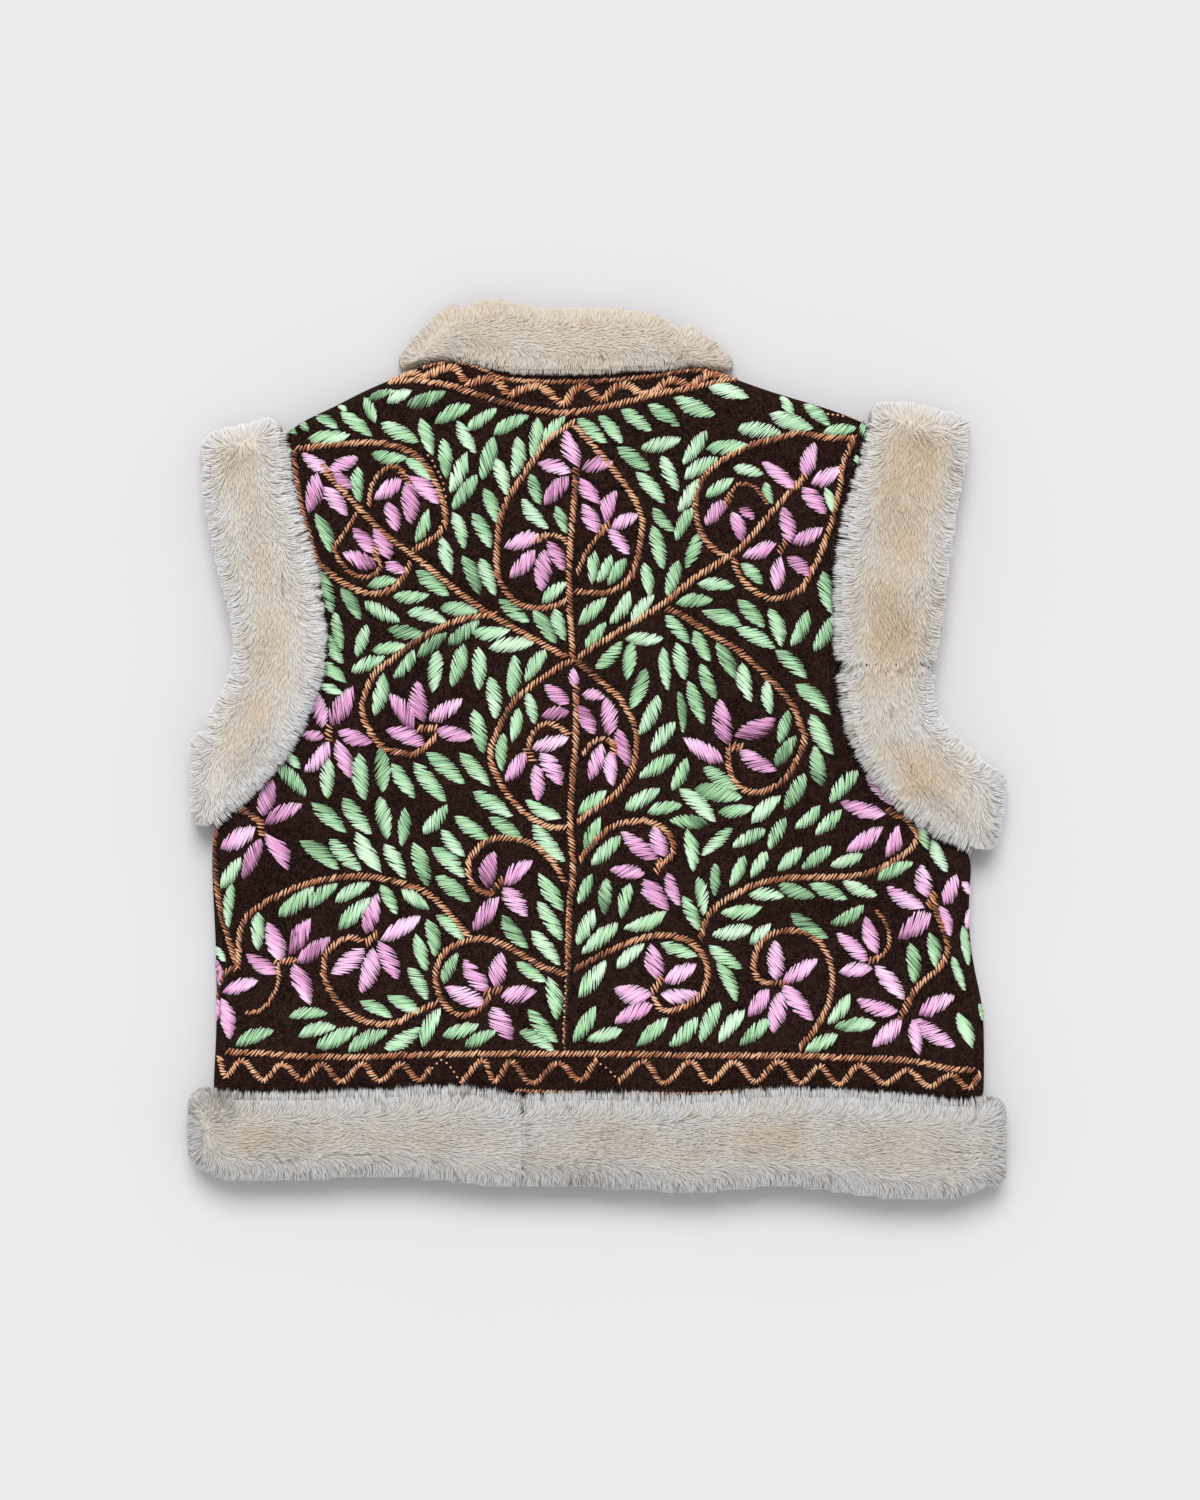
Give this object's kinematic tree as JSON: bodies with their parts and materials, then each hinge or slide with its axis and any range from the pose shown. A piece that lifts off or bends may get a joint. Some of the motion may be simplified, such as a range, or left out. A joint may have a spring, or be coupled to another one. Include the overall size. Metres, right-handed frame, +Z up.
{
  "type": "embroidered waistcoat",
  "caption": "Sleeveless suede waistcoat with an embroidered back and fur trim at the collar, armholes and hem, laid flat with its back upward.",
  "frame": {"origin": "on the surface the garment lies on, under the middle of its outline", "axes": "+Z up out of the back panel, +Y toward the collar, +X toward the wearer's right"},
  "size_m": [0.535, 0.5886, 0.033],
  "materials": {
    "suede": "dark brown suede, soft nap, fully embroidered in satin and chain stitch",
    "fur": "cream sheared sheepskin with paler tips"
  },
  "bodies": {
    "root": {"back": "suede", "front_left": "suede", "front_right": "suede", "collar": "fur", "armhole_left": "fur", "armhole_right": "fur", "hem_left": "fur", "hem_right": "fur"}
  },
  "joints": []
}
